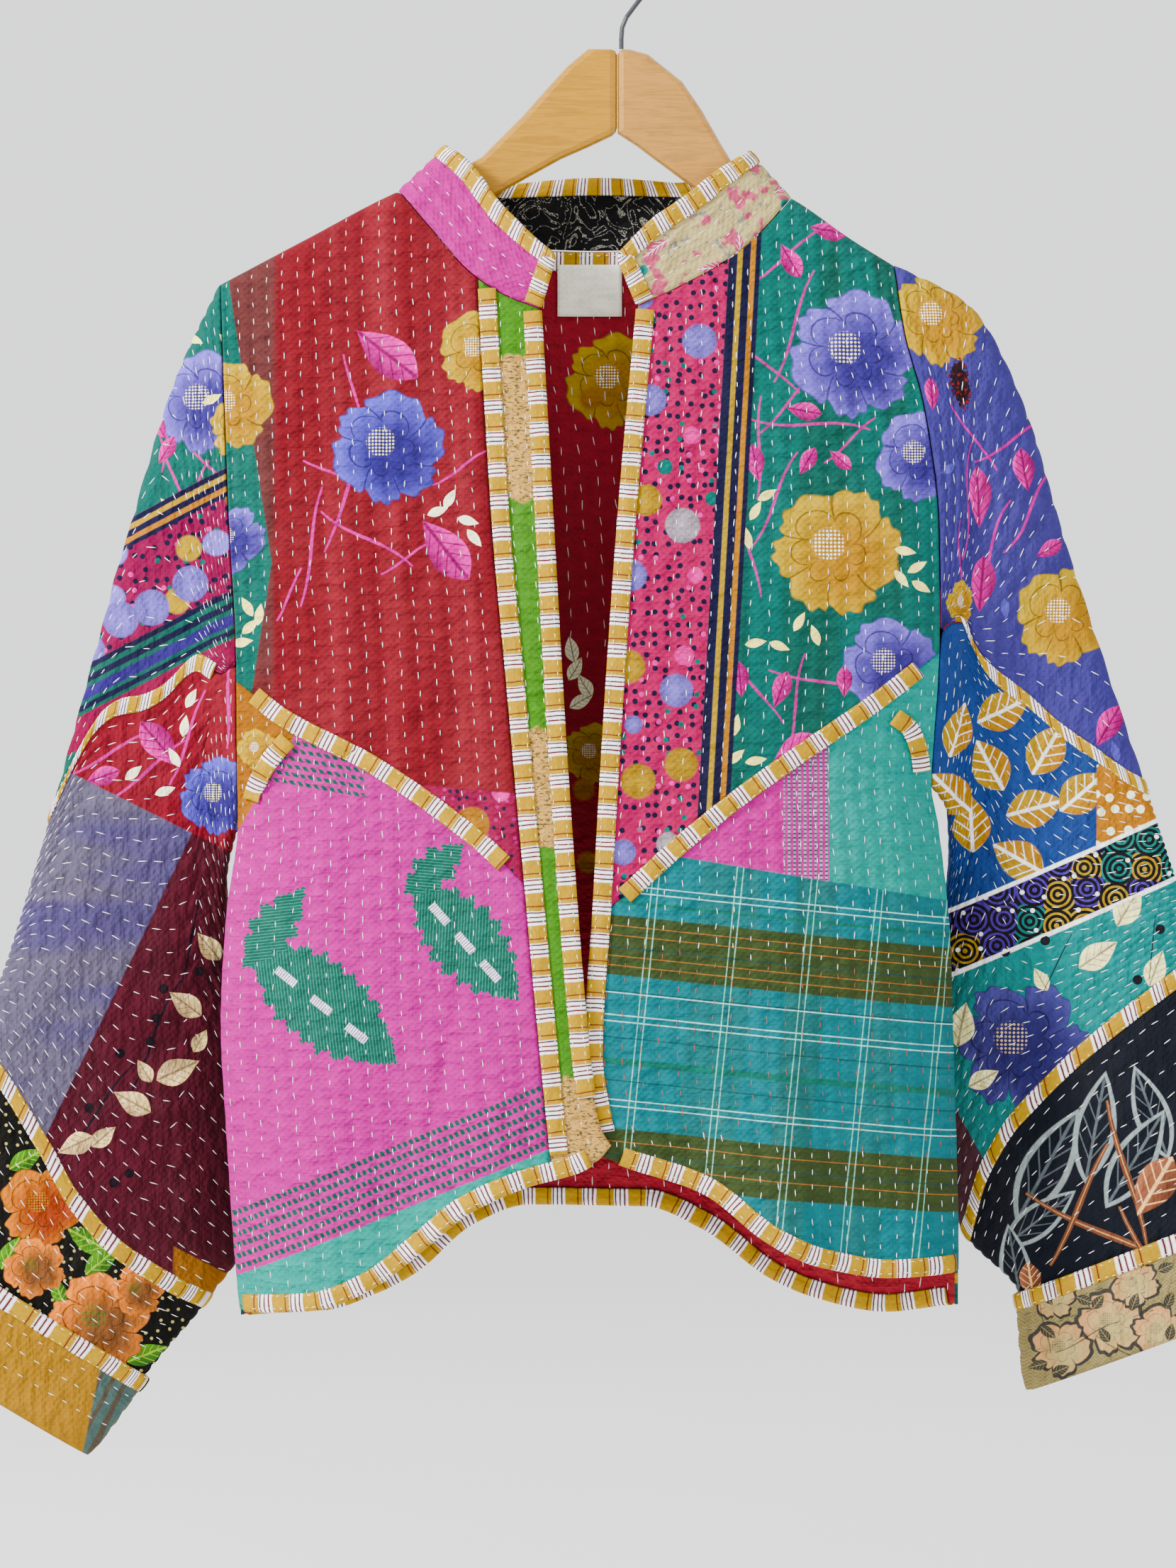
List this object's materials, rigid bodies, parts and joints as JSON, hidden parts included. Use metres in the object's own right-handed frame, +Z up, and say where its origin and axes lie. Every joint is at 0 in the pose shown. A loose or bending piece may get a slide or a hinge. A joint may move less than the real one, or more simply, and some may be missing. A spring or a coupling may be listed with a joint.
{
  "type": "kantha jacket on hanger",
  "caption": "Open-front quilted patchwork jacket with a stand collar, flared hem and flared sleeves with turned-back cuffs, bound in printed tape, hanging on a flat wooden hanger.",
  "frame": {"origin": "the inside top of the hanger's hook, where it hangs", "axes": "+Z up, the jacket's front faces -Y, +X to the right as the front is looked at"},
  "size_m": [0.8711, 0.1336, 0.8927],
  "materials": {
    "cotton_maroon": "printed cotton, quilted by hand, matt",
    "cotton_red": "printed cotton, quilted by hand, matt",
    "cotton_pink": "printed cotton, quilted by hand, matt",
    "cotton_green": "printed cotton, quilted by hand, matt",
    "cotton_teal": "printed cotton, quilted by hand, matt",
    "cotton_turquoise": "printed cotton, quilted by hand, matt",
    "cotton_black": "printed cotton, quilted by hand, matt",
    "cotton_cream": "printed cotton, quilted by hand, matt",
    "binding": "printed yellow cotton tape, matt",
    "cotton_ochre": "printed cotton, quilted by hand, matt",
    "cotton_violet": "printed cotton, quilted by hand, matt",
    "cotton_blue": "printed cotton, quilted by hand, matt",
    "cotton_navy": "printed cotton, quilted by hand, matt",
    "wood": "clear varnish, low sheen",
    "steel": "plain steel wire, bright"
  },
  "bodies": {
    "root": {"back": "cotton_maroon", "front_left_upper": "cotton_red", "front_left_lower": "cotton_pink", "placket": "cotton_green", "front_right_upper": "cotton_teal", "front_right_lower": "cotton_turquoise", "collar_left": "cotton_pink", "collar_back": "cotton_black", "collar_right": "cotton_cream", "neck_tape": "binding", "neck_label": "cotton_cream", "sleeve_left_upper": "cotton_teal", "sleeve_left_middle": "cotton_maroon", "sleeve_left_forearm": "cotton_black", "cuff_left": "cotton_ochre", "sleeve_right_upper": "cotton_violet", "sleeve_right_middle": "cotton_blue", "sleeve_right_forearm": "cotton_navy", "cuff_right": "cotton_cream", "binding_collar": "binding", "binding_front_left": "binding", "binding_front_right": "binding", "binding_placket": "binding", "binding_seam_left": "binding", "binding_seam_right": "binding", "binding_underarm_left": "binding", "binding_underarm_right": "binding", "binding_hem_left": "binding", "binding_hem_right": "binding", "binding_hem_back": "binding", "binding_arc_left": "binding", "binding_arc_right": "binding", "binding_slant_left": "binding", "binding_slant_right": "binding", "binding_cuff_left": "binding", "binding_cuff_right": "binding", "hanger_wood_left": "wood", "hanger_wood_right": "wood", "hanger_hook": "steel"}
  },
  "joints": []
}
